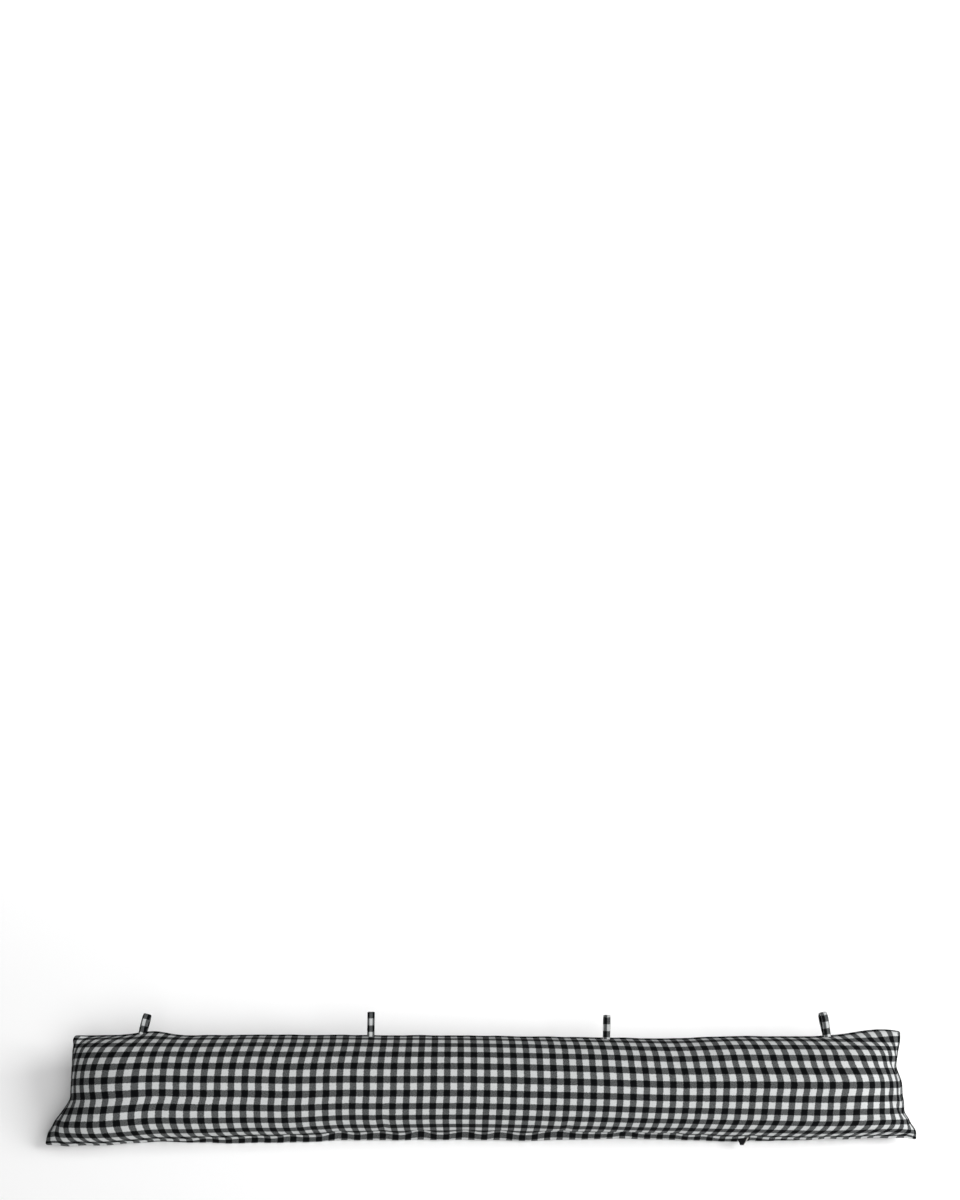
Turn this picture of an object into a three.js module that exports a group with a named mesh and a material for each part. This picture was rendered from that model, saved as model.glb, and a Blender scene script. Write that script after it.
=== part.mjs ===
// A stuffed draught excluder as it lies at the foot of a door: one long cushion of two panels
// sewn edge to edge, four hanging loops in the back seam and a small blank tab in the front seam.
// Millimetres. +X runs along the cushion, -Y faces the room, +Z is up and the floor is z = 0.
import * as THREE from 'three';
import { mergeVertices } from 'three/addons/utils/BufferGeometryUtils.js';

// Cushion
const LENGTH = 890; // ear tip to ear tip
const SEAM_SPAN = 108; // front seam to back seam, straight through the filling
const FACE_CROWN = 43; // face panel above the plane of the seams
const UNDER_CROWN = 40; // under panel below that plane, before the floor flattens it
const FACE_SQUARENESS = 2; // 2 is an ellipse, more fills the corners beside the seams
const UNDER_SQUARENESS = 2.4;
const SEAM_TILT = THREE.MathUtils.degToRad(24); // the seam plane climbs from front to back
const SEAM_HEIGHT = 39; // middle of the seam plane above the floor
const END_FILL = 40; // each end fills out to its full thickness over this length
const END_DRAW = 14; // the end seams are drawn in this far between their ears
const DRAW_FADE = 120; // and the pull dies out this far along the cushion
const LIP_REACH = 3.5; // sewn edge that stands out along the seams
const LIP_THICK = 3;
const ROLLED_EAR = 9; // the back left ear is rolled in by this much
const MIDDLE_STEP = 30; // spacing of the sections between the ends
const ROW_COUNT = 15; // rows of points across each panel

// How the cushion lies from its left end (-1) to its right end (1): fullness added to the face,
// and the rise of the front seam and of the back seam.
const LYING = [
  { place: -1.0, full: 0.0, front: -1.0, back: 1.0 },
  { place: -0.8, full: 1.0, front: -2.5, back: 2.5 },
  { place: -0.55, full: 1.5, front: -4.5, back: 0.5 },
  { place: -0.25, full: 0.5, front: 0.5, back: 0.0 },
  { place: 0.15, full: 0.0, front: 1.5, back: -1.0 },
  { place: 0.35, full: -0.5, front: 0.5, back: -2.0 },
  { place: 0.6, full: 0.0, front: -2.0, back: -0.5 },
  { place: 0.85, full: 0.5, front: -0.5, back: 2.0 },
  { place: 1.0, full: 0.0, front: 0.0, back: 4.0 },
];

// Hanging loops: place along the back seam, lean to the left and twist in degrees, and how far the
// feet stand off the line of the sewn edge. They straddle it, so an upright loop's feet pass it.
const LOOPS = [
  { name: 'loop_1', along: -368, lean: -14, twist: 0, foot: 0.4 },
  { name: 'loop_2', along: -129, lean: 0, twist: 3, foot: -0.35 },
  { name: 'loop_3', along: 123, lean: 0, twist: -8, foot: -0.1 },
  { name: 'loop_4', along: 365, lean: 12, twist: 0, foot: 0.25 },
];
const LOOP_WIDTH = 7.6;
const LOOP_THICK = 2.4;
const LOOP_EDGE_ROUND = 0.9;
const LOOP_RISE = 6; // degrees the loops stand up from the plane of the seams
const LOOP_STEPS = 26;
// One leg of the folded strip's middle line, from its foot to the top of the bend
const LOOP_LEG = [
  { out: 0, apart: 1.9 },
  { out: 5, apart: 3.4 },
  { out: 12, apart: 5.1 },
  { out: 18, apart: 5.2 },
  { out: 22.5, apart: 3.4 },
  { out: 24, apart: 0 },
];

// Tab in the front seam
const TAB = { along: 259, width: 9, length: 9.5, thick: 1.6, droop: 18 };

const TAB_GAP = 0.3; // between the tab and the seam that carries it

const GINGHAM_GREY = 0x8b8b8a;
const TAB_BLACK = 0x1d1d1f;

const halfSpan = SEAM_SPAN / 2;
const seamEnd = LENGTH / 2 - LIP_REACH; // where the end seams would be if they were straight
const lying = new THREE.CubicInterpolant(
  LYING.map((station) => station.place),
  LYING.flatMap((station) => [station.full, station.front, station.back]),
  3,
);

function clothMaterial(color) {
  return new THREE.MeshStandardMaterial({ color, roughness: 0.9, metalness: 0 });
}

// Shape of the cushion at a place along its length
function lyingAt(x) {
  const [full, front, back] = lying.evaluate(THREE.MathUtils.clamp(x / (LENGTH / 2), -1, 1));
  return { full, front, back };
}

// A point given along the length, across the seam plane (front is negative) and away from it
function fromSeamPlane(x, across, away) {
  const { front, back } = lyingAt(x);
  const rise = THREE.MathUtils.lerp(front, back, (across / halfSpan + 1) / 2);
  const y = across * Math.cos(SEAM_TILT) - away * Math.sin(SEAM_TILT);
  const z = SEAM_HEIGHT + rise + across * Math.sin(SEAM_TILT) + away * Math.cos(SEAM_TILT);
  return new THREE.Vector3(x, y, z);
}

// The sewn edge from its outermost line to the seam: share of its reach and of its half thickness
const LIP_PROFILE = [
  { reach: 1, thick: 0 },
  { reach: 0.72, thick: 0.85 },
  { reach: 0, thick: 1 },
];

// Lines that run the length of a panel, from the front edge to the back edge. The turn goes from
// 0 at the front seam to pi at the back seam.
function panelRows() {
  const lip = LIP_PROFILE.map((step) => ({ ...step, turn: 0 }));
  const filled = [];
  for (let row = 1; row <= ROW_COUNT; row += 1) {
    filled.push({ reach: 0, thick: 1, turn: (Math.PI * row) / (ROW_COUNT + 1) });
  }
  const backLip = LIP_PROFILE.map((step) => ({ ...step, turn: Math.PI })).reverse();
  return [...lip, ...filled, ...backLip];
}

// Lines that run across a panel, from the left edge to the right edge. The inset is the distance
// inside the end seam.
function panelColumns() {
  const lip = LIP_PROFILE.map((step) => ({ ...step, inset: 0 }));
  const fillTurns = [0.2, 0.42, 0.66, 0.92, 1.22, Math.PI / 2];
  const rounded = fillTurns.map((turn) => END_FILL * (1 - Math.cos(turn)));
  const fading = [0.5, 0.7, 1].map((share) => share * DRAW_FADE);
  const insets = [...rounded, ...fading];
  const left = [...lip, ...insets.map((inset) => ({ reach: 0, thick: 1, inset }))];
  const leftSide = left.map((column) => ({ ...column, side: -1 }));
  const rightSide = left.map((column) => ({ ...column, side: 1 })).reverse();
  const middle = [];
  const middleHalf = seamEnd - DRAW_FADE;
  const steps = Math.round((2 * middleHalf) / MIDDLE_STEP);
  for (let step = 1; step < steps; step += 1) {
    const x = THREE.MathUtils.lerp(-middleHalf, middleHalf, step / steps);
    middle.push({ reach: 0, thick: 1, inset: seamEnd - Math.abs(x), side: Math.sign(x) || 1 });
  }
  return [...leftSide, ...middle, ...rightSide];
}

function panelPoint(column, row, panel) {
  const share = -Math.cos(row.turn);
  const across = share * halfSpan + Math.sign(share) * row.reach * LIP_REACH;
  const pull = (1 - Math.min(column.inset / DRAW_FADE, 1)) ** 2;
  const rolled = column.side < 0 ? ROLLED_EAR * ((share + 1) / 2) ** 3 : 0;
  const drawn = pull * (END_DRAW * (1 - share ** 2) + rolled);
  const x = column.side * (seamEnd - column.inset - drawn + column.reach * LIP_REACH);
  const emptied = 1 - Math.min(column.inset / END_FILL, 1);
  const section = (1 - Math.abs(share) ** panel.squareness) ** (1 / panel.squareness);
  const filling = Math.sqrt(1 - emptied ** 2) * section;
  const fullness = panel.face ? lyingAt(x).full : 0;
  const lipHalf = (LIP_THICK / 2) * Math.min(column.thick, row.thick);
  const away = Math.max(lipHalf, (panel.crown + fullness) * filling);
  const point = fromSeamPlane(x, across, panel.face ? away : -away);
  point.z = Math.max(point.z, 0);
  return point;
}

// Both panels meet in the outermost line of the sewn edge, so together they close the solid.
function cushionGeometry() {
  const panels = [
    { face: true, crown: FACE_CROWN, squareness: FACE_SQUARENESS },
    { face: false, crown: UNDER_CROWN, squareness: UNDER_SQUARENESS },
  ];
  const columns = panelColumns();
  const rows = panelRows();
  const points = [];
  const triangles = [];
  for (const panel of panels) {
    const first = points.length;
    for (const column of columns) {
      for (const row of rows) points.push(panelPoint(column, row, panel));
    }
    for (let c = 0; c + 1 < columns.length; c += 1) {
      for (let r = 0; r + 1 < rows.length; r += 1) {
        const here = first + c * rows.length + r;
        const next = here + rows.length;
        const quad = [here, next, next + 1, here + 1];
        const [a, b, d, e] = panel.face ? quad : quad.reverse();
        triangles.push(a, b, d, a, d, e);
      }
    }
  }
  const geometry = new THREE.BufferGeometry().setFromPoints(points);
  geometry.setIndex(triangles);
  return mergeVertices(geometry, 1e-3);
}

// Section of the loop's strip with rounded edges, its width along the first axis
function stripSection(width, thick, round) {
  const w = width / 2;
  const t = thick / 2;
  const section = new THREE.Shape();
  section.moveTo(-w + round, -t);
  section.lineTo(w - round, -t);
  section.quadraticCurveTo(w, -t, w, 0);
  section.quadraticCurveTo(w, t, w - round, t);
  section.lineTo(-w + round, t);
  section.quadraticCurveTo(-w, t, -w, 0);
  section.quadraticCurveTo(-w, -t, -w + round, -t);
  return section;
}

// A strip folded over into a loop, standing up along +Y from its two feet, its opening along X
function loopGeometry() {
  const leg = LOOP_LEG.map((point) => new THREE.Vector3(0, point.out, point.apart));
  const otherLeg = leg.slice(0, -1).reverse().map((point) => point.clone().setZ(-point.z));
  const path = new THREE.CatmullRomCurve3([...leg, ...otherLeg]);
  const section = stripSection(LOOP_WIDTH, LOOP_THICK, LOOP_EDGE_ROUND);
  return new THREE.ExtrudeGeometry(section, { extrudePath: path, steps: LOOP_STEPS, curveSegments: 2 });
}

function loopMesh(loop) {
  const mesh = new THREE.Mesh(loopGeometry(), clothMaterial(GINGHAM_GREY));
  const lean = THREE.MathUtils.degToRad(loop.lean);
  const twist = THREE.MathUtils.degToRad(loop.twist);
  mesh.rotation.set(SEAM_TILT + THREE.MathUtils.degToRad(LOOP_RISE), twist, lean, 'XZY');
  mesh.position.copy(fromSeamPlane(loop.along, halfSpan + LIP_REACH + loop.foot, 0));
  mesh.name = loop.name;
  return mesh;
}

// The tab is a short strip that leaves the front seam and droops, rounded at its free end.
function tabMesh() {
  const tip = -TAB.length;
  const t = TAB.thick / 2;
  const sag = -TAB.length * Math.sin(THREE.MathUtils.degToRad(TAB.droop));
  const side = new THREE.Shape();
  side.moveTo(0, t);
  side.quadraticCurveTo(tip * 0.55, t, tip, sag + t);
  side.quadraticCurveTo(tip - t, sag, tip, sag - t);
  side.quadraticCurveTo(tip * 0.5, -t, 0, -t);
  const geometry = new THREE.ExtrudeGeometry(side, {
    depth: TAB.width,
    bevelEnabled: false,
    curveSegments: 6,
  });
  geometry.translate(0, 0, -TAB.width / 2);
  geometry.rotateX(Math.PI / 2);
  geometry.rotateZ(Math.PI / 2);
  const mesh = new THREE.Mesh(geometry, clothMaterial(TAB_BLACK));
  mesh.rotation.x = SEAM_TILT;
  mesh.position.copy(fromSeamPlane(TAB.along, -(halfSpan + LIP_REACH + TAB_GAP), 0));
  mesh.name = 'seam_tab';
  return mesh;
}

const cushion = new THREE.Mesh(cushionGeometry(), clothMaterial(GINGHAM_GREY));
cushion.name = 'cushion';

const excluder = new THREE.Group();
excluder.add(cushion, ...LOOPS.map(loopMesh), tabMesh());

export default excluder;
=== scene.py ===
# %% [markdown]
# # A draught excluder in black and white gingham
# The real thing is two long strips of checked cotton, sewn edge to edge and stuffed, with four
# narrow loops caught in the back seam to hang it up by. This lesson dresses its measured frame:
# first the stuffed cushion, then the small sewn-on pieces, then the cloth, the light and the camera.

# %% Load the frame
import math

import bmesh
import bpy
import numpy as np
from mathutils import Matrix, Vector


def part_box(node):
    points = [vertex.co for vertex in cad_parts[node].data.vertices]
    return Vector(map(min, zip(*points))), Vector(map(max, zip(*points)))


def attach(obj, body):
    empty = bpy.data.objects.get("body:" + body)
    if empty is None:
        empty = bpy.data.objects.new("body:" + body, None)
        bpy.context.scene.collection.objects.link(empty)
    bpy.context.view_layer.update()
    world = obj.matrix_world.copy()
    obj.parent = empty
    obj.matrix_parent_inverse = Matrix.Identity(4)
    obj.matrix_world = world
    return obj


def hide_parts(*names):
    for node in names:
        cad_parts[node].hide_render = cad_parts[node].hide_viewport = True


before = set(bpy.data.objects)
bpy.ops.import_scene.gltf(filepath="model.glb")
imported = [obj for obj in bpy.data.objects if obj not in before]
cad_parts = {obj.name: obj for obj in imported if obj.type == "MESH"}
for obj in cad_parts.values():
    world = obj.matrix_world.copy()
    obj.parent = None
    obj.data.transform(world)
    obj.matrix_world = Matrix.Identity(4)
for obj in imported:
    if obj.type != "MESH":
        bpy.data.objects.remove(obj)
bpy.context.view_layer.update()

scene = bpy.context.scene
MM = 0.001
print("nodes:", sorted(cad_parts))

# %% [markdown] ## The sizes that drive everything A seamstress starts from the cut: each panel is
# 888 mm long and 145 mm wide. How the cushion lies is written down as the plane through its seams,
# which climbs from the front to the back, and the length comes from the frame so that the two
# models agree.

# %% Sizes of the cut and of the lying cushion
cushion_low, cushion_high = (Vector(corner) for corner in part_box("cushion"))
LENGTH = cushion_high.x - cushion_low.x
PANEL_LONG = 888 * MM
PANEL_WIDE = 145 * MM
COLUMNS_COUNTED = 66.95
ROWS_COUNTED = 10.4
COLUMN_REPEAT = PANEL_LONG / COLUMNS_COUNTED
ROW_REPEAT = PANEL_WIDE / ROWS_COUNTED
WHITE_COLUMN_AT = -12.3 * MM
WHITE_ROW_AT = -PANEL_WIDE / 2

SEAM_SPAN = 100 * MM
SEAM_TILT = math.radians(24)
SEAM_HEIGHT = 39 * MM
print(f"one repeat is {COLUMN_REPEAT / MM:.1f} by {ROW_REPEAT / MM:.1f} mm")

# %% [markdown]
# ## How it lies from end to end
# Nothing stuffed by hand lies dead straight. This short table holds, for places from the left end
# (-1) to the right end (1), how far each long seam rises above its usual height and how far it
# strays towards the back, in millimetres.

# %% The line of the seams
LYING = [
    # place, front rise, back rise, front stray, back stray
    (-1.00, -2.0, 0.0, -8.0, -5.0),
    (-0.96, -2.5, 0.2, -12.0, -4.8),
    (-0.90, -2.5, 0.5, -12.5, -4.5),
    (-0.72, -2.5, 1.0, -6.5, -4.0),
    (-0.50, -3.5, 1.0, -2.5, -2.0),
    (-0.30, -0.5, 1.0, 1.5, -1.2),
    (-0.05, 1.0, 0.5, 2.5, 0.0),
    (0.20, 1.0, -1.0, 1.5, 0.5),
    (0.40, 0.0, -1.5, 1.0, 0.3),
    (0.60, -1.0, 0.5, 0.0, 3.3),
    (0.75, -1.5, 1.0, -0.5, 3.5),
    (1.00, 0.0, 1.5, 2.0, 2.5),
]


def eased(x, places, values):
    """Values at x between the places, with level slopes at each place."""
    index = np.clip(np.searchsorted(places, x) - 1, 0, len(places) - 2)
    share = np.clip((x - places[index]) / (places[index + 1] - places[index]), 0, 1)
    share = share * share * (3 - 2 * share)
    return values[index] + (values[index + 1] - values[index]) * share


def seam_plane(x, across, away):
    """Points given along the cushion, across the plane of its seams and away from it."""
    places, *columns = np.array(LYING).T
    place = np.clip(x / (LENGTH / 2), -1, 1)
    front_rise, back_rise, front_stray, back_stray = (
        eased(place, places, column) * MM for column in columns
    )
    to_back = across / SEAM_SPAN + 0.5
    rise = front_rise + (back_rise - front_rise) * to_back
    stray = front_stray + (back_stray - front_stray) * to_back
    y = stray + across * math.cos(SEAM_TILT) - away * math.sin(SEAM_TILT)
    z = SEAM_HEIGHT + rise + across * math.sin(SEAM_TILT) + away * math.cos(SEAM_TILT)
    return np.stack(np.broadcast_arrays(x, y, z), axis=-1)


print("middle of the front seam:", np.round(seam_plane(np.zeros(1), -SEAM_SPAN / 2, 0) / MM, 1))

# %% [markdown]
# ## The stuffed cushion
# The two panels are cut flat, sewn along all four sides and filled. The honest way to get the
# puckers where the flat cloth is forced round the ends is to do the same: two grids that know
# their flat size, welded at the rim, are set roughly in place and then blown up by Blender's cloth
# simulation until the cloth carries the filling.
#
# ## Where the pattern sits
# Cloth that is stuffed by hand never keeps its checks dead straight: it is eased along here and
# across there until it fits. Each row of this table is one such shift, which fades with distance
# and dies out before the seams, where the cloth is held.

# %% Ease the pattern over the filling
HELD_BY_SEAM = 12 * MM
SLIDES = [
    # place along and across the cut, slide along and across, reach along and across, in millimetres
    (-395, -28, 8.0, 0.0, 38, 26),
    (-345, -15, 0.0, 4.8, 110, 46),
    (270, 10, 0.0, -2.8, 190, 48),
    (340, 4, 4.0, 0.0, 100, 15),
    (220, -38, -3.0, 0.0, 170, 18),
    (-220, -31, 3.0, 0.0, 130, 15),
    (-330, -58, -4.5, 0.0, 90, 12),
    (-200, 45, 3.0, 0.0, 100, 22),
    (230, 45, -2.2, 0.0, 110, 22),
]


def eased_over(s, t):
    """The place on the cut whose pattern shows at (s, t) once the cloth is eased over the filling."""
    along, across = 0.0, 0.0
    for at_s, at_t, by_s, by_t, reach_s, reach_t in SLIDES:
        near = math.exp(-(((s / MM - at_s) / reach_s) ** 2) - ((t / MM - at_t) / reach_t) ** 2)
        along += by_s * near * MM
        across += by_t * near * MM
    to_seam = min(PANEL_LONG / 2 - abs(s), PANEL_WIDE / 2 - abs(t))
    free = min(1.0, max(0.0, to_seam / HELD_BY_SEAM))
    return s - along * free, t - across * free


print("pattern at the left end moves to", np.round(np.array(eased_over(-395 * MM, -28 * MM)) / MM))

# %% [markdown]
# ## Cutting and sewing
# Each panel is one grid, stretched to the size of the cut. Its UV map counts repeats of the check,
# so the weave can be drawn later without any picture. Merging the two rims is the sewing.

# %% Cut and sew the two panels
CELL = 4.5 * MM
WELD = CELL / 100
UNDER_ROW_SHIFT = ROW_REPEAT * 0.3


def sewn_panels():
    """Two flat grids, one over the other, welded along the rim, with the cut as their UV map."""
    bm = bmesh.new()
    cut = bm.loops.layers.uv.new("cut")
    side = bm.verts.layers.float.new("side")
    rim = []
    for panel in (1, -1):
        grid = bmesh.ops.create_grid(
            bm,
            x_segments=round(PANEL_LONG / CELL),
            y_segments=round(PANEL_WIDE / CELL),
            size=0.5,
        )["verts"]
        bmesh.ops.scale(bm, vec=(PANEL_LONG, PANEL_WIDE, 1), verts=grid)
        faces = list({face for vert in grid for face in vert.link_faces})
        for vert in grid:
            vert[side] = panel
        for face in faces:
            for loop in face.loops:
                s, t, _ = loop.vert.co
                if panel > 0:
                    s, t = eased_over(s, t)
                else:
                    t = -PANEL_WIDE - t - UNDER_ROW_SHIFT
                loop[cut].uv = (
                    (s - WHITE_COLUMN_AT) / COLUMN_REPEAT,
                    (t - WHITE_ROW_AT) / ROW_REPEAT,
                )
        if panel < 0:
            bmesh.ops.reverse_faces(bm, faces=faces)
        rim += [vert for vert in grid if vert.is_boundary]
    bmesh.ops.remove_doubles(bm, verts=rim, dist=WELD)
    mesh = bpy.data.meshes.new("cushion_cover")
    bm.to_mesh(mesh)
    bm.free()
    return mesh


cover_mesh = sewn_panels()
cover = bpy.data.objects.new("cushion_cover", cover_mesh)
scene.collection.objects.link(cover)
flat = np.array([vert.co for vert in cover_mesh.vertices])
panel_side = np.array([item.value for item in cover_mesh.attributes["side"].data])
print("panels:", len(flat), "points,", len(cover_mesh.polygons), "faces")

# %% [markdown]
# ## Laying the panels
# A cloth simulation only has to finish the shape, so the panels start close to it. Across, each
# panel follows an oval whose two ends are the long seams. Lengthwise it runs straight and then
# rounds down to the end seam. Sewing leaves the front seam rippled, and a few tugs in the seams
# (where the loops pull, for one) are written down as bumps of a place and a width.

# %% Ripple the seams
SEAM_SHARPNESS = 30
LIP_RIPPLE = 0.45 * MM
RIPPLE_FADE = 120 * MM
RIPPLE_AT_END = 0.15
BACK_CALM = 0.25
RIPPLES = [
    # length of the wave in millimetres, share of it, and start
    (43.4, 1.0, 0.0),
    (71.0, 0.7, 2.0),
    (27.0, 0.5, 0.0),
]
LIP_WAVE = 0.9 * MM
LIP_WAVE_LONG = 43 * MM
LIP_WAVE_START = -27 * MM
LIP_WAVE_AT = -70 * MM
LIP_WAVE_REACH = 140 * MM
SEAM_PULLS = [
    # side (front -1, back 1), along, towards the back, up and width in millimetres
    (-1, 75, 3.5, 1.5, 12),
    (-1, 150, 3.0, 1.0, 45),
    (-1, 440, 3.0, 1.0, 15),
    (1, -349, 3.5, 2.0, 20),
    (1, 415, 8.0, 4.0, 42),
]


def rippled(formed, x, share):
    """The laid points with the ripples and tugs that sewing leaves in the long seams."""
    at_seam = np.clip(np.abs(share) * SEAM_SHARPNESS - (SEAM_SHARPNESS - 1), 0, 1)
    loose = at_seam * np.where(share < 0, 1, BACK_CALM)
    loose *= np.clip((LENGTH / 2 - np.abs(x)) / RIPPLE_FADE, RIPPLE_AT_END, 1)
    for wave_long, amount, start in RIPPLES:
        ripple = amount * np.sin(2 * math.pi * x / (wave_long * MM) + start)
        formed[:, 1:] += (loose * ripple * LIP_RIPPLE)[:, None]
    wave = np.cos(2 * math.pi * (x - LIP_WAVE_START) / LIP_WAVE_LONG)
    wave *= np.exp(-(((x - LIP_WAVE_AT) / LIP_WAVE_REACH) ** 2)) * (share < 0)
    formed[:, 1:] += (loose * wave * LIP_WAVE)[:, None]
    for side, at, back, up, wide in SEAM_PULLS:
        pull = np.exp(-(((x - at * MM) / (wide * MM)) ** 2)) * at_seam * (side * share > 0)
        formed[:, 1] += pull * back * MM
        formed[:, 2] += pull * up * MM
    return formed


print("tugs in the seams:", len(SEAM_PULLS))

# %% [markdown]
# ## The oval between the seams
# Cut across, a stuffed tube of two panels is a lens that the filling has blown round. A plain ellipse
# is close enough for the face. The under panel rests on the floor, so its oval is squarer.

# %% The section across
FACE_CROWN = 43.5 * MM
UNDER_CROWN = 40 * MM
UNDER_SQUARENESS = 2.4
SECTION_STEPS = 200


def across_section(t, panel_side):
    """Where a place on the cut lies between the seams (-1 to 1) and how high it stands (0 to 1)."""
    turns = np.linspace(0, math.pi, SECTION_STEPS)
    steps = np.hypot(SEAM_SPAN / 2 * np.sin(turns), FACE_CROWN * np.cos(turns))
    run = np.concatenate([[0], np.cumsum((steps[1:] + steps[:-1]) / 2)])
    turn = np.interp((t / PANEL_WIDE + 0.5) * run[-1], run, turns)
    share = -np.cos(turn)
    squareness = np.where(panel_side > 0, 2, UNDER_SQUARENESS)
    section = np.clip(1 - np.abs(share) ** squareness, 0, 1) ** (1 / squareness)
    return share, section


share, section = across_section(flat[:, 1], panel_side)
print(f"places across from {share.min():.2f} to {share.max():.2f}, heights up to {section.max():.2f}")

# %% [markdown]
# ## The two ends
# Stuffing draws each end seam in between its corners, which stay behind as ears, and where the
# filling pushes it lifts the seam as well. Each of the short tables below says how far, from the
# front ear (-1) to the back ear (1) and in millimetres, so that an end can be shaped by changing a
# few numbers.

# %% Tables for the ends
LEFT_DRAW = [(-1, 0), (-0.85, -4), (-0.7, -3), (-0.5, 4), (-0.2, 13.5), (0.5, 14), (0.8, 14), (1, 18)]
RIGHT_DRAW = [
    (-1, 1), (-0.85, -5), (-0.7, -2), (-0.5, 7), (-0.2, 12),
    (0.15, 12.5), (0.45, 14), (0.7, 11), (1, 8),
]
LEFT_LIFT = [(-1, 0), (0.82, 0), (0.95, 14), (1, 14)]
RIGHT_LIFT = [(-1, 0), (-0.75, 0), (-0.5, 6), (-0.3, 15), (0.1, 15), (0.4, 5), (1, 0)]
# over what length each end rounds down to its seam
LEFT_FILL = [(-1, 85), (-0.3, 80), (1, 70)]
RIGHT_FILL = [(-1, 75), (0.4, 75), (1, 65)]


def read_off(table, at):
    """A length in millimetres, read off a short table of places."""
    return np.interp(at, *np.array(table).T) * MM


print(f"the right end seam is lifted by up to {read_off(RIGHT_LIFT, share).max() / MM:.0f} mm")

# %% Lay the panels roughly in place
LIP_REACH = 3.5 * MM
SEAM_END = LENGTH / 2 - LIP_REACH
END_FADE = 130 * MM
RIGHT_SLACK = 0.15
LEFT_LIFT_FADE = 16 * MM
RIGHT_LIFT_FADE = 60 * MM
LIFT_CURVE = 1.5
FRONT_EAR_REACH = 10 * MM
BACK_EAR_REACH = 1.5 * MM
EAR_FADE = 30 * MM
EAR_SHARPNESS = 4
FLOOR_CLEARANCE = 0.5 * MM


def quarter_round(a, b):
    """Length of a quarter of an ellipse."""
    return math.pi / 4 * (3 * (a + b) - np.sqrt((3 * a + b) * (a + 3 * b)))


def laid_in_place(flat, panel_side):
    """The flat cut wrapped round the filling: an oval across and a rounded end lengthwise."""
    s, t = flat[:, 0], flat[:, 1]
    share, section = across_section(t, panel_side)
    to_end = PANEL_LONG / 2 - np.abs(s)
    near_end = np.clip(1 - to_end / END_FADE, 0, 1)
    near_end = near_end * near_end * (3 - 2 * near_end)
    crown = np.where(panel_side > 0, FACE_CROWN, UNDER_CROWN)
    crown = crown * (1 - np.where(s < 0, 0, RIGHT_SLACK) * near_end)
    fill = np.where(s < 0, read_off(LEFT_FILL, share), read_off(RIGHT_FILL, share))
    draw = np.where(s < 0, read_off(LEFT_DRAW, share), read_off(RIGHT_DRAW, share))
    drawn_all_along = np.clip(1 - share**2, 0, 1)
    lift = np.where(s < 0, read_off(LEFT_LIFT, share), read_off(RIGHT_LIFT, share))
    lift_fade = np.where(s < 0, LEFT_LIFT_FADE, RIGHT_LIFT_FADE)
    lift *= np.clip(1 - to_end / lift_fade, 0, 1) ** LIFT_CURVE

    rounding = quarter_round(fill, crown * section)
    straight = np.clip(to_end / rounding, 0, 1)
    rolled = 1 - np.cos(straight * math.pi / 2)
    inset = fill * (straight + (rolled - straight) * section)
    middle = np.clip((to_end - rounding) / (PANEL_LONG / 2 - rounding), 0, 1)
    x = (SEAM_END - draw * drawn_all_along - fill) * (1 - middle) + fill - inset
    x -= draw * (1 - drawn_all_along) * near_end

    at_corner = np.clip(np.abs(share) * EAR_SHARPNESS - (EAR_SHARPNESS - 1), 0, 1)
    ear = np.clip(1 - to_end / EAR_FADE, 0, 1) * at_corner
    back_ear = np.where(s < 0, -BACK_EAR_REACH, BACK_EAR_REACH)
    ear *= np.where(share < 0, FRONT_EAR_REACH, back_ear)
    x = (x + ear) * np.sign(s)
    share = share * (1 + ear / SEAM_SPAN)
    filling = np.sqrt(1 - np.clip(1 - inset / fill, 0, 1) ** 2) * section
    away = panel_side * crown * filling + lift
    formed = seam_plane(x, share * SEAM_SPAN / 2, away)
    formed = rippled(formed, x, share)
    formed[:, 2] = np.maximum(formed[:, 2], FLOOR_CLEARANCE)
    return formed


formed = laid_in_place(flat, panel_side)
cover_mesh.vertices.foreach_set("co", formed.ravel())
print("laid box:", np.round(formed.min(0) / MM), np.round(formed.max(0) / MM))

# %% [markdown]
# ## Stuffing
# The simulation knows the flat cut as the cloth's own size and the laid shape as its start. The
# seams are held, the ends a little less firmly than the long sides, and pressure from within does
# the work of the filling. A plain floor underneath keeps the cushion from sagging through it.

# %% Hold the seams and stuff it
STUFFING_FRAMES = 30
STUFFING_FLOOR_HALF = 0.8
CLOTH_CLEARANCE = 0.5 * MM
ON_SEAM = CELL / 10
GRIP_FADE = 80 * MM
END_GRIP = 0.85
LEFT_END_GRIP = 0.6
RIGHT_END_GRIP = 0.7
EAR_GRIP = 0.95
on_long_seam = np.abs(np.abs(flat[:, 1]) - PANEL_WIDE / 2) < ON_SEAM
on_end_seam = np.abs(np.abs(flat[:, 0]) - PANEL_LONG / 2) < ON_SEAM
from_end = PANEL_LONG / 2 - np.abs(flat[:, 0])


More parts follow.
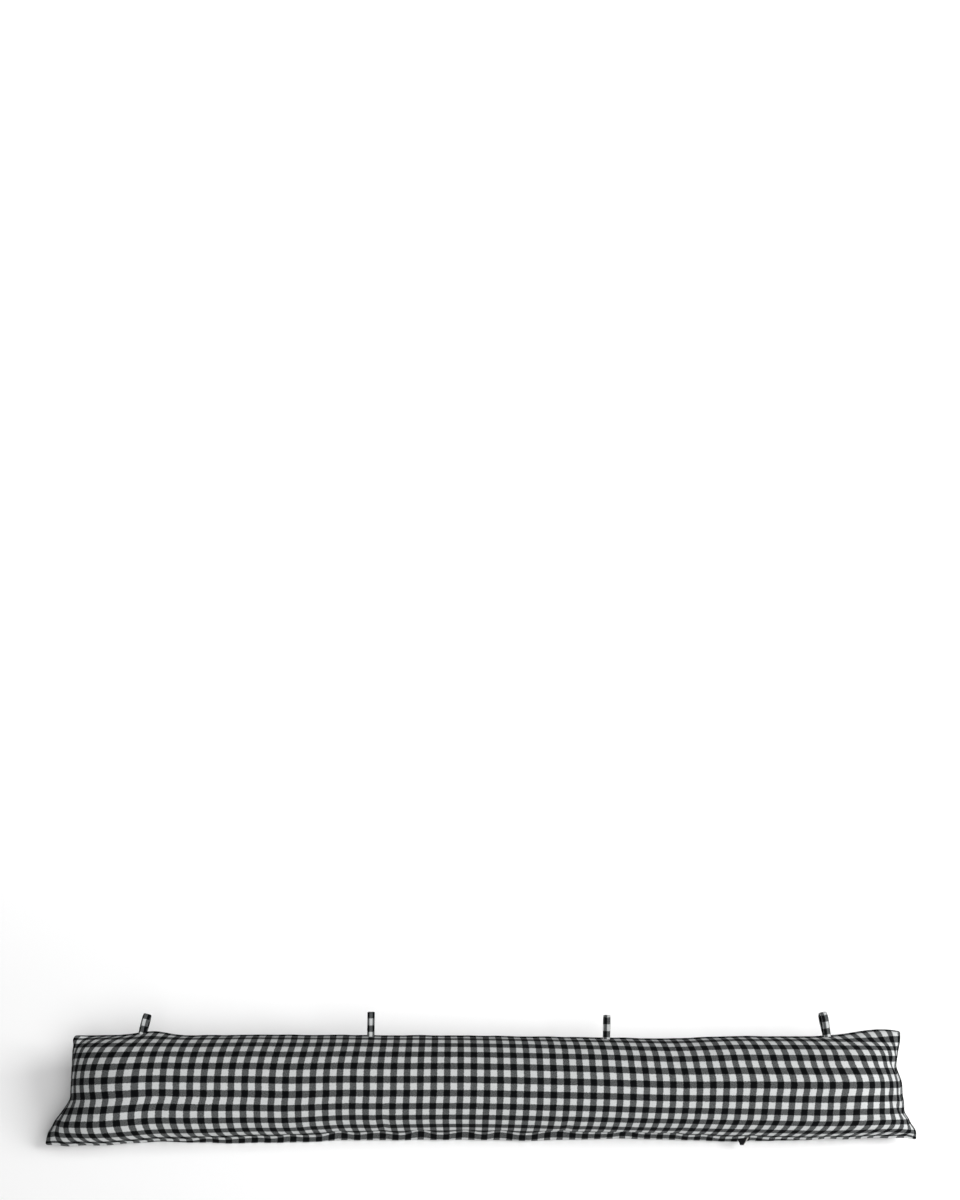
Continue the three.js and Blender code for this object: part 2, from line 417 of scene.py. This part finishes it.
def stuff(cover, flat):
    """Blow the sewn panels up from their flat size while the long seams are held."""
    cover.shape_key_add(name="lying")
    cut_key = cover.shape_key_add(name="cut")
    cut_key.data.foreach_set("co", flat.ravel())
    held = cover.vertex_groups.new(name="held")
    grip = np.where(on_long_seam, np.clip(from_end / GRIP_FADE, END_GRIP, 1), 0)
    grip[on_end_seam] = np.where(flat[on_end_seam, 0] > 0, RIGHT_END_GRIP, LEFT_END_GRIP)
    grip[on_long_seam & on_end_seam] = EAR_GRIP
    for index in np.flatnonzero(grip > 0):
        held.add([int(index)], float(grip[index]), "REPLACE")
    cloth = cover.modifiers.new("stuffing", "CLOTH")
    settings = cloth.settings
    settings.rest_shape_key = cut_key
    settings.vertex_group_mass = "held"
    settings.quality = 6
    settings.mass = 0.15
    settings.tension_stiffness = 40
    settings.compression_stiffness = 12
    settings.shear_stiffness = 8
    settings.bending_stiffness = 0.4
    settings.use_pressure = True
    settings.uniform_pressure_force = 4
    settings.effector_weights.gravity = 0
    cloth.collision_settings.use_collision = True
    cloth.collision_settings.distance_min = CLOTH_CLEARANCE
    cloth.collision_settings.use_self_collision = False
    cloth.point_cache.frame_end = STUFFING_FRAMES
    floor = bpy.data.meshes.new("stuffing_floor")
    bm = bmesh.new()
    bmesh.ops.create_grid(bm, x_segments=2, y_segments=2, size=STUFFING_FLOOR_HALF)
    bm.to_mesh(floor)
    bm.free()
    table = bpy.data.objects.new("stuffing_floor", floor)
    scene.collection.objects.link(table)
    table.modifiers.new("floor", "COLLISION")
    table.collision.thickness_outer = CLOTH_CLEARANCE
    for frame_number in range(1, STUFFING_FRAMES + 1):
        scene.frame_set(frame_number)
    shown = cover.evaluated_get(bpy.context.evaluated_depsgraph_get()).to_mesh()
    stuffed = np.array([vert.co for vert in shown.vertices])
    cover.modifiers.remove(cloth)
    cover.shape_key_clear()
    cover.vertex_groups.clear()
    bpy.data.objects.remove(table)
    scene.frame_set(1)
    return stuffed


stuffed = stuff(cover, flat)
moved = np.linalg.norm(stuffed - formed, axis=1)
print(f"stuffing moved points by up to {moved.max() / MM:.1f} mm, {moved.mean() / MM:.1f} on average")
cover_mesh.vertices.foreach_set("co", stuffed.ravel())

# %% [markdown]
# ## Belly and creases
# The filling settles: under the front seam the lower panel bellies out a little past the seam, at
# the right end it swells behind the lifted seam, and where the cloth has too much length it folds
# into soft creases. All of it is pushed into the stuffed mesh, with each crease written as a line
# on the flat cut.

# %% Let it settle
# how far the lower panel bellies out, from the left end (-1) to the right end (1), in millimetres
BELLY = [(-1, 8), (-0.6, 11), (-0.3, 13), (0.1, 13), (0.3, 9), (1, 9)]
BELLY_WIDE = 75 * MM
BELLY_FADE = 160 * MM
BELLY_FROM_END = 20 * MM
FULLEST_NEAR_SEAM = 0.6
BELLY_PUSH = np.array([0, -0.95, -0.3])
END_BULGE = 7 * MM
END_BULGE_LONG = 80 * MM
END_BULGE_WIDE = 95 * MM
END_BULGE_AT = -2 * MM
END_BULGE_PUSH = np.array([1, 0, 0.1])
SAG = 1.5 * MM
SAG_BELOW = 40 * MM
REST_CLEARANCE = 0.3 * MM

FOLD_SHARE = 0.5
FOLD_BREADTH = 2
CREASE_TAPER = 4
CREASES = [
    # from (s, t) to (s, t), depth and width, all in millimetres on the cut
    ((412, 45), (420, 24), 3.0, 4.2),
    ((414, 32), (438, 10), 3.4, 4.2),
    ((397, 6), (411, -21), 3.0, 4.2),
    ((405, -14), (436, -31), 3.6, 4.2),
    ((-111, -68), (-106, -30), 2.2, 5.0),
    ((74, -70), (80, -35), 2.0, 5.5),
    ((-185, -70), (-178, -45), 1.2, 6.0),
    ((192, -70), (198, -45), 1.2, 6.0),
    ((-402, -40), (-425, -60), 1.6, 6.0),
]


def bellied(points, s, t):
    """The lower panel let out below the front seam and past the right end."""
    under = (panel_side < 0) & ~(on_long_seam | on_end_seam)
    below = np.clip((t + PANEL_WIDE / 2) / BELLY_WIDE, 0, 1)
    belly = np.sin(math.pi * below**FULLEST_NEAR_SEAM) * under * read_off(BELLY, s / (LENGTH / 2))
    belly *= np.clip((from_end - BELLY_FROM_END) / BELLY_FADE, 0, 1)
    inward = np.clip(from_end / END_BULGE_LONG, 0, 1)
    aside = np.clip((t - END_BULGE_AT) / END_BULGE_WIDE, -0.5, 0.5)
    bulge = np.sin(math.pi * inward**FULLEST_NEAR_SEAM) * np.cos(math.pi * aside)
    bulge = bulge * under * (s > 0) * END_BULGE
    return points + belly[:, None] * BELLY_PUSH + bulge[:, None] * END_BULGE_PUSH


def creased(points, normals):
    """The face with each crease pressed in and a soft fold raised beside it."""
    for start, end, depth, wide in CREASES:
        start, end = np.array(start) * MM, np.array(end) * MM
        line = end - start
        length = np.linalg.norm(line)
        offset = flat[:, :2] - start
        run = offset @ line / length**2
        apart = np.abs(offset[:, 0] * line[1] - offset[:, 1] * line[0]) / (length * wide * MM)
        press = np.exp(-(apart**2)) - FOLD_SHARE * np.exp(-((apart / FOLD_BREADTH) ** 2))
        press *= np.clip(1 - np.abs(2 * run - 1) ** CREASE_TAPER, 0, 1) * (panel_side > 0)
        press[on_long_seam | on_end_seam] = 0
        points = points - normals * (press * depth * MM)[:, None]
    return points


cover_mesh.update()
normals = np.array([vert.normal for vert in cover_mesh.vertices])
lying = creased(bellied(stuffed, flat[:, 0], flat[:, 1]), normals)
lying[:, 2] -= SAG * np.clip(1 - lying[:, 2] / SAG_BELOW, 0, 1)
lying[:, 2] = np.maximum(lying[:, 2], REST_CLEARANCE)
cover_mesh.vertices.foreach_set("co", lying.ravel())
print(f"settled on the floor at {lying[:, 2].min() / MM:.1f} mm, with {len(CREASES)} creases")

# %% [markdown]
# ## The sewn edge
# Inside the seam the turned-in cloth makes a small hard ridge that runs all the way round. A bevel
# along the seam gives the ridge its two feet, and pushing its middle line outwards gives its crest.

# %% Raise the ridge along the seams
RIDGE_FOOT = 1.4 * MM
RIDGE_REACH = 2.8 * MM


def raise_ridge(mesh):
    """Bevel the rim of the two panels and push the middle line of the bevel outwards."""
    bm = bmesh.new()
    bm.from_mesh(mesh)
    flat_of = {vert: flat[vert.index] for vert in bm.verts}
    rim = []
    for edge in bm.edges:
        ends = [flat_of[vert] for vert in edge.verts]
        along_long = all(abs(abs(end[1]) - PANEL_WIDE / 2) < ON_SEAM for end in ends)
        along_end = all(abs(abs(end[0]) - PANEL_LONG / 2) < ON_SEAM for end in ends)
        if along_long or along_end:
            rim.append(edge)
    made = bmesh.ops.bevel(
        bm,
        geom=rim,
        offset=RIDGE_FOOT,
        offset_type="OFFSET",
        segments=2,
        profile=0.5,
        affect="EDGES",
        clamp_overlap=True,
        material=-1,
    )
    strip = set(made["faces"])
    crest = [vert for vert in made["verts"] if all(face in strip for face in vert.link_faces)]
    bm.normal_update()
    for vert in crest:
        vert.co += vert.normal * RIDGE_REACH
    for face in bm.faces:
        face.smooth = True
    bmesh.ops.recalc_face_normals(bm, faces=bm.faces)
    bm.to_mesh(mesh)
    bm.free()
    return len(crest)


print("points on the crest of the ridge:", raise_ridge(cover_mesh))
finer = cover.modifiers.new("finer", "SUBSURF")
finer.levels = 1
finer.render_levels = 1
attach(cover, "root")
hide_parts("cushion")
print("cushion dressed:", len(cover_mesh.vertices), "points")

# %% [markdown]
# ## The four hanging loops
# Each loop is a narrow tape of the same cloth, folded, edge-stitched and caught by both ends in the
# back seam. A grid rolled into a flat tube and bent along a hairpin is the whole of it. Folding the
# tape shows less cloth than its width, so the check looks narrower across the tape than along it.

# %% Bend the loops
LOOP_HALF_WIDE = 3.8 * MM
LOOP_HALF_THICK = 1.1 * MM
LOOP_RISE = math.radians(6)
LOOP_FOLDS = 2.1
LOOP_FLATNESS = 0.5
LOOP_AROUND = 20
LOOP_ALONG = 56
HAIRPIN_FINENESS = 40
LOOP_WELD = 0.01 * MM
LOOP_LEG = [(-7, 1.4), (-3, 1.5), (0, 1.6), (4, 2.2), (10, 3.0), (15, 3.0), (18.8, 2.2), (20.3, 0)]
LOOPS = [
    # name, along and out in millimetres, lean and twist in degrees, start of the check both ways
    ("loop_1", -359, 0, -14, 0, 0.1, 0.6),
    ("loop_2", -125, 2, 0, 3, 0.0, 0.7),
    ("loop_3", 122, 1.5, 0, -8, -0.30, 0.9),
    ("loop_4", 356.5, 4, 12, 6, -0.22, 0.95),
]


def hairpin(count):
    """Points and running length along the middle of the tape, out and back."""
    leg = LOOP_LEG + [(out, -apart) for out, apart in reversed(LOOP_LEG[:-1])]
    knots = np.array(leg, dtype=float) * MM
    knots = np.vstack([2 * knots[0] - knots[1], knots, 2 * knots[-1] - knots[-2]])
    at = np.linspace(0, len(leg) - 1, HAIRPIN_FINENESS * count)
    index = np.minimum(at.astype(int), len(leg) - 2)
    f = (at - index)[:, None]
    p0, p1, p2, p3 = (knots[index + k] for k in range(4))
    path = 0.5 * (
        2 * p1
        + (p2 - p0) * f
        + (2 * p0 - 5 * p1 + 4 * p2 - p3) * f**2
        + (3 * p1 - p0 - 3 * p2 + p3) * f**3
    )
    run = np.concatenate([[0], np.cumsum(np.linalg.norm(np.diff(path, axis=0), axis=1))])
    even = np.linspace(0, run[-1], count + 1)
    return np.stack([np.interp(even, run, path[:, k]) for k in range(2)], axis=1), even


def squared_off(value):
    """A cosine or sine pushed towards one, which flattens a round tube into a tape."""
    return math.copysign(abs(value) ** LOOP_FLATNESS, value)


def bent_loop(name, phase_across, phase_along):
    """A flat tube of cloth bent along the hairpin, standing along Y with its face towards Z."""
    path, run = hairpin(LOOP_ALONG)
    lengthwise = np.gradient(path, axis=0)
    lengthwise /= np.linalg.norm(lengthwise, axis=1)[:, None]
    bm = bmesh.new()
    cut = bm.loops.layers.uv.new("cut")
    made = bmesh.ops.create_grid(bm, x_segments=LOOP_AROUND, y_segments=LOOP_ALONG, size=0.5)
    grid = made["verts"]
    place = {}
    for vert in grid:
        turn = (vert.co.x + 0.5) * 2 * math.pi
        step = round((vert.co.y + 0.5) * LOOP_ALONG)
        place[vert] = (turn, step)
    for face in bm.faces:
        face.smooth = True
        for loop in face.loops:
            turn, step = place[loop.vert]
            wide = LOOP_HALF_WIDE * squared_off(math.cos(turn))
            loop[cut].uv = (
                wide / COLUMN_REPEAT * LOOP_FOLDS + phase_across,
                run[step] / ROW_REPEAT + phase_along,
            )
    for vert in grid:
        turn, step = place[vert]
        wide = LOOP_HALF_WIDE * squared_off(math.cos(turn))
        thick = LOOP_HALF_THICK * squared_off(math.sin(turn))
        out, apart = path[step]
        ahead_out, ahead_apart = lengthwise[step]
        vert.co = (wide, out - thick * ahead_apart, apart + thick * ahead_out)
    bmesh.ops.remove_doubles(bm, verts=bm.verts, dist=LOOP_WELD)
    bmesh.ops.holes_fill(bm, edges=[edge for edge in bm.edges if edge.is_boundary], sides=0)
    bmesh.ops.recalc_face_normals(bm, faces=bm.faces)
    mesh = bpy.data.meshes.new(name + "_tape")
    bm.to_mesh(mesh)
    bm.free()
    return mesh


loops = []
for name, along, out, lean, twist, phase_across, phase_along in LOOPS:
    mesh = bent_loop(name, phase_across, phase_along)
    foot = seam_plane(np.array([along * MM]), SEAM_SPAN / 2 + RIDGE_REACH + out * MM, 0.0)[0]
    stand = (
        Matrix.Translation(foot)
        @ Matrix.Rotation(SEAM_TILT + LOOP_RISE, 4, "X")
        @ Matrix.Rotation(math.radians(lean), 4, "Z")
        @ Matrix.Rotation(math.radians(twist), 4, "Y")
    )
    mesh.transform(stand)
    tape = bpy.data.objects.new(name + "_tape", mesh)
    scene.collection.objects.link(tape)
    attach(tape, "root")
    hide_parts(name)
    loops.append(tape)
print("loops:", [tape.name for tape in loops])

# %% [markdown]
# ## The little tab in the front seam
# A dark end of ribbon, folded and caught in the front seam, with a paler selvedge. It could be cut
# from a box, but a short grid that narrows and droops over its length bends like cloth.

# %% Fold the tab
TAB_ALONG = 266 * MM
TAB_WIDE = 14 * MM
TAB_LONG = 9.5 * MM
TAB_NARROWING = 0.75
TAB_THICK = 0.8 * MM
TAB_CELLS = 10
TAB_DROOP = math.radians(20)


def folded_tab():
    """A short double ribbon that droops from the seam."""
    bm = bmesh.new()
    cut = bm.loops.layers.uv.new("cut")
    grid = bmesh.ops.create_grid(bm, x_segments=TAB_CELLS, y_segments=TAB_CELLS, size=0.5)["verts"]
    for face in bm.faces:
        face.smooth = True
        for loop in face.loops:
            loop[cut].uv = (loop.vert.co.x + 0.5, loop.vert.co.y + 0.5)
    for vert in grid:
        out = (0.5 - vert.co.y) * TAB_LONG
        bend = TAB_DROOP * out / TAB_LONG
        wide = TAB_WIDE * (1 - TAB_NARROWING * out / TAB_LONG)
        vert.co = (vert.co.x * wide, -out * math.cos(bend / 2), -out * math.sin(bend))
    bmesh.ops.solidify(bm, geom=bm.faces[:], thickness=TAB_THICK)
    bmesh.ops.recalc_face_normals(bm, faces=bm.faces)
    mesh = bpy.data.meshes.new("seam_tab_ribbon")
    bm.to_mesh(mesh)
    bm.free()
    return mesh


tab_mesh = folded_tab()
tab_foot = seam_plane(np.array([TAB_ALONG]), -SEAM_SPAN / 2, 0.0)[0]
tab_mesh.transform(Matrix.Translation(tab_foot) @ Matrix.Rotation(SEAM_TILT, 4, "X"))
tab = bpy.data.objects.new("seam_tab_ribbon", tab_mesh)
scene.collection.objects.link(tab)
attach(tab, "root")
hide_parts("seam_tab")
print("tab:", tab.name, len(tab_mesh.polygons), "faces")

# %% [markdown]
# ## The cloth
# Gingham is woven from black and white yarn in equal stripes both ways: where two white stripes
# cross the cloth is white, where two black ones cross it is black, and elsewhere the yarns mix to a
# speckled grey. The UV map holds the cut in repeats of the check, so the same sum of two stripes
# draws the pattern everywhere and finer waves draw the yarns.

# %% Helpers for the cloths


class Nodes:
    """Small helpers that keep the shader cells short."""

    def __init__(self, name):
        self.material = bpy.data.materials.new(name)
        self.material.use_nodes = True
        self.tree = self.material.node_tree
        self.shader = self.tree.nodes["Principled BSDF"]

    def put(self, socket, value):
        if isinstance(value, bpy.types.NodeSocket):
            self.tree.links.new(value, socket)
        else:
            socket.default_value = value

    def math(self, operation, *values, clamp=False):
        node = self.tree.nodes.new("ShaderNodeMath")
        node.operation = operation
        node.use_clamp = clamp
        for socket, value in zip(node.inputs, values):
            self.put(socket, value)
        return node.outputs[0]

    def mix(self, share, first, second):
        node = self.tree.nodes.new("ShaderNodeMix")
        node.data_type = "RGBA"
        self.put(node.inputs["Factor"], share)
        self.put(node.inputs["A"], first)
        self.put(node.inputs["B"], second)
        return node.outputs["Result"]

    def noise(self, vector, scale, detail=2.0):
        node = self.tree.nodes.new("ShaderNodeTexNoise")
        self.put(node.inputs["Vector"], vector)
        node.inputs["Scale"].default_value = scale
        node.inputs["Detail"].default_value = detail
        return node.outputs["Fac"]

    def cut(self):
        node = self.tree.nodes.new("ShaderNodeUVMap")
        node.uv_map = "cut"
        split = self.tree.nodes.new("ShaderNodeSeparateXYZ")
        self.tree.links.new(node.outputs["UV"], split.inputs[0])
        return node.outputs["UV"], split.outputs["X"], split.outputs["Y"]

    def place(self):
        return self.tree.nodes.new("ShaderNodeTexCoord").outputs["Object"]

    def bump(self, height, distance, strength=1.0):
        node = self.tree.nodes.new("ShaderNodeBump")
        self.put(node.inputs["Height"], height)
        node.inputs["Distance"].default_value = distance
        node.inputs["Strength"].default_value = strength
        self.put(self.shader.inputs["Normal"], node.outputs["Normal"])


print("helpers ready:", [name for name in vars(Nodes) if not name.startswith("_")])

# %% Weave the gingham
BLACK = (0.0030, 0.0035, 0.0040, 1)
GREY_DARK = (0.024, 0.026, 0.027, 1)
GREY_LIGHT = (0.172, 0.178, 0.178, 1)
WHITE_DULL = (0.455, 0.465, 0.465, 1)
WHITE_CLEAR = (0.655, 0.67, 0.67, 1)
COTTON_ROUGH = 0.92
COTTON_GLOSS = 0.03
STRIPE_STRAY = 0.10
STRIPE_STRAY_SCALE = 9.0
STRIPE_EDGE = 4.0
FLECK_SCALE = 16.0
FLECK_CONTRAST = 1.6
FLECK_MIDDLE = 0.40
RIBS_PER_REPEAT = 11.0
RIB_SHARE = 0.10
YARNS_PER_REPEAT = 22.0
YARN_SHARE = 0.15
SLUB_SCALE = 380.0
WEAVE_HEIGHT = 0.5 * MM
WEAVE_STRENGTH = 0.6
FULL_TURN = 2 * math.pi


def gingham():
    """Black and white stripes both ways, mixed where they cross, with flecks and a raised weave."""
    cloth = Nodes("gingham")
    uv, across, along = cloth.cut()
    wander = cloth.math("SUBTRACT", cloth.noise(uv, STRIPE_STRAY_SCALE), 0.5)
    stray = cloth.math("MULTIPLY", wander, STRIPE_STRAY)

    def stripe(axis):
        """One over a white stripe and nought over a black one, with a soft woven edge."""
        moved = cloth.math("ADD", axis, stray)
        turn = cloth.math("MULTIPLY", moved, FULL_TURN)
        wave = cloth.math("COSINE", turn)
        return cloth.math("ADD", cloth.math("MULTIPLY", wave, STRIPE_EDGE), 0.5, clamp=True)

    def yarns(axis, count):
        """A fine wave with this many crests in each repeat of the check."""
        return cloth.math("SINE", cloth.math("MULTIPLY", axis, FULL_TURN * count))

    warp, weft = stripe(across), stripe(along)
    ribs = yarns(cloth.math("ADD", across, along), RIBS_PER_REPEAT)
    flecks = cloth.noise(uv, FLECK_SCALE, 3.0)
    shows = cloth.math("ADD", cloth.math("MULTIPLY", ribs, RIB_SHARE), flecks)
    shows = cloth.math("MULTIPLY", cloth.math("SUBTRACT", shows, 0.5), FLECK_CONTRAST)
    shows = cloth.math("ADD", shows, FLECK_MIDDLE, clamp=True)
    both = cloth.math("MULTIPLY", warp, weft)
    either = cloth.math("SUBTRACT", cloth.math("MAXIMUM", warp, weft), both)
    grey = cloth.mix(shows, GREY_DARK, GREY_LIGHT)
    white = cloth.mix(shows, WHITE_DULL, WHITE_CLEAR)
    colour = cloth.mix(both, cloth.mix(either, BLACK, grey), white)
    cloth.put(cloth.shader.inputs["Base Color"], colour)
    cloth.shader.inputs["Roughness"].default_value = COTTON_ROUGH
    cloth.shader.inputs["Specular IOR Level"].default_value = COTTON_GLOSS
    yarn = cloth.math("ADD", yarns(across, YARNS_PER_REPEAT), yarns(along, YARNS_PER_REPEAT))
    raised = cloth.math("MULTIPLY", yarn, YARN_SHARE)
    slub = cloth.math("ADD", raised, cloth.noise(cloth.place(), SLUB_SCALE, 3.0))
    cloth.bump(slub, WEAVE_HEIGHT, WEAVE_STRENGTH)
    return cloth.material


gingham_cloth = gingham()
for piece in [cover] + loops:
    piece.data.materials.append(gingham_cloth)
print("gingham on", 1 + len(loops), "pieces")

# %% [markdown]
# ## The ribbon of the tab
# The tab is a dull black ribbon with a paler woven edge on its right side. The same helpers draw it,
# with its UV map counted across and along the ribbon.

# %% Weave the ribbon
RIBBON_BLACK = (0.006, 0.006, 0.007, 1)
SELVEDGE_PALE = (0.42, 0.41, 0.39, 1)
SELVEDGE_FROM = 0.88
RIBBON_RIBS = 14
RIBBON_FUZZ_SCALE = 30.0
RIBBON_ROUGH = 0.8
RIBBON_GLOSS = 0.1
RIBBON_HEIGHT = 0.2 * MM
RIBBON_STRENGTH = 0.5


def ribbon():
    """A dull black ribbon with a pale selvedge."""
    cloth = Nodes("tab_ribbon")
    uv, across, along = cloth.cut()
    selvedge = cloth.math("GREATER_THAN", across, SELVEDGE_FROM)
    weave = cloth.math("SINE", cloth.math("MULTIPLY", along, FULL_TURN * RIBBON_RIBS))
    cloth.put(cloth.shader.inputs["Base Color"], cloth.mix(selvedge, RIBBON_BLACK, SELVEDGE_PALE))
    cloth.shader.inputs["Roughness"].default_value = RIBBON_ROUGH
    cloth.shader.inputs["Specular IOR Level"].default_value = RIBBON_GLOSS
    ribbed = cloth.math("ADD", weave, cloth.noise(uv, RIBBON_FUZZ_SCALE))
    cloth.bump(ribbed, RIBBON_HEIGHT, RIBBON_STRENGTH)
    return cloth.material


tab_mesh.materials.append(ribbon())
print("ribbon on", tab.name)

# %% [markdown]
# ## The floor
# A plain pale floor, large enough to fill the picture up to its top edge, catches the soft shadow.

# %% Lay the floor
FLOOR_HALF = 6.0
FLOOR_PALE = (0.94, 0.94, 0.94, 1)
FLOOR_ROUGH = 0.8

bm = bmesh.new()
bmesh.ops.create_grid(bm, x_segments=1, y_segments=1, size=FLOOR_HALF)
floor_mesh = bpy.data.meshes.new("floor")
bm.to_mesh(floor_mesh)
bm.free()
floor = bpy.data.objects.new("floor", floor_mesh)
scene.collection.objects.link(floor)
floor_paint = bpy.data.materials.new("floor")
floor_paint.use_nodes = True
floor_shader = floor_paint.node_tree.nodes["Principled BSDF"]
floor_shader.inputs["Base Color"].default_value = FLOOR_PALE
floor_shader.inputs["Roughness"].default_value = FLOOR_ROUGH
floor_mesh.materials.append(floor_paint)
print("floor of", 2 * FLOOR_HALF, "m")

# %% [markdown]
# ## The light
# The shadow falls to the left and the right end is the brightest, so the key is a large panel to
# the right, near enough to fade along the cushion. A broad fill from the front lifts the crown
# more than the back, and a second panel, aimed at the floor far behind, lights it as a studio
# lights its backdrop.

# %% Light the studio
SKY_STRENGTH = 0.10

scene.world = bpy.data.worlds.new("studio")
scene.world.use_nodes = True
sky = scene.world.node_tree.nodes["Background"]
sky.inputs["Color"].default_value = (1, 1, 1, 1)
sky.inputs["Strength"].default_value = SKY_STRENGTH
scene.view_settings.view_transform = "Standard"


def softbox(name, azimuth, height, strength, breadth):
    """A broad distant light, turned from the front towards the right and raised by degrees."""
    azimuth, height = math.radians(azimuth), math.radians(height)
    light = bpy.data.lights.new(name, "SUN")
    light.energy = strength
    light.angle = math.radians(breadth)
    lamp = bpy.data.objects.new(name, light)
    level = math.cos(height)
    away = Vector((math.sin(azimuth) * level, -math.cos(azimuth) * level, math.sin(height)))
    lamp.rotation_euler = away.to_track_quat("Z", "Y").to_euler()
    scene.collection.objects.link(lamp)


def panel_light(name, place, aim, wide, deep, energy, spread):
    """A rectangular light at a place, turned towards its aim."""
    light = bpy.data.lights.new(name, "AREA")
    light.shape = "RECTANGLE"
    light.size = wide
    light.size_y = deep
    light.energy = energy
    light.spread = math.radians(spread)
    lamp = bpy.data.objects.new(name, light)
    lamp.location = place
    lamp.rotation_euler = (Vector(place) - Vector(aim)).to_track_quat("Z", "Y").to_euler()
    scene.collection.objects.link(lamp)


softbox("fill from the front", azimuth=32, height=51, strength=2.0, breadth=40)
panel_light(
    "key from the right",
    place=(2.2, -0.1, 2.0),
    aim=(0, 0, 0),
    wide=1.4,
    deep=1.4,
    energy=76,
    spread=180,
)
panel_light(
    "light for the floor behind",
    place=(-0.4, 2.75, 3.0),
    aim=(-0.4, 2.75, 0),
    wide=6.4,
    deep=4.2,
    energy=70,
    spread=34,
)

# %% [markdown]
# ## The camera
# The photograph looks down on the cushion from in front, with the cushion near the bottom edge of a
# tall picture. Its focal length is written in pixels of that picture, and the shift brings the
# cushion down to where it lies there.

# %% Set the camera
PICTURE_HIGH = 1200
FOCAL_PX = 1100
PRINCIPAL_Y = 1004.4
SENSOR = 36
PITCH = math.radians(61.02)
YAW = math.radians(-5.47)
ROLL = math.radians(5.56)
CAMERA_AT = (-0.0649, -0.4786, 1.0821)

view = bpy.data.cameras.new("camera")
view.sensor_width = SENSOR
view.lens = SENSOR * FOCAL_PX / PICTURE_HIGH
view.shift_y = (PRINCIPAL_Y - PICTURE_HIGH / 2) / PICTURE_HIGH
camera = bpy.data.objects.new("camera", view)
scene.collection.objects.link(camera)
turned = Matrix.Rotation(YAW, 4, "Z") @ Matrix.Rotation(math.pi / 2 - PITCH, 4, "X")
camera.matrix_world = Matrix.Translation(CAMERA_AT) @ turned @ Matrix.Rotation(ROLL, 4, "Z")
scene.camera = camera
print(f"lens {view.lens:.0f} mm, shift {view.shift_y:.2f}")
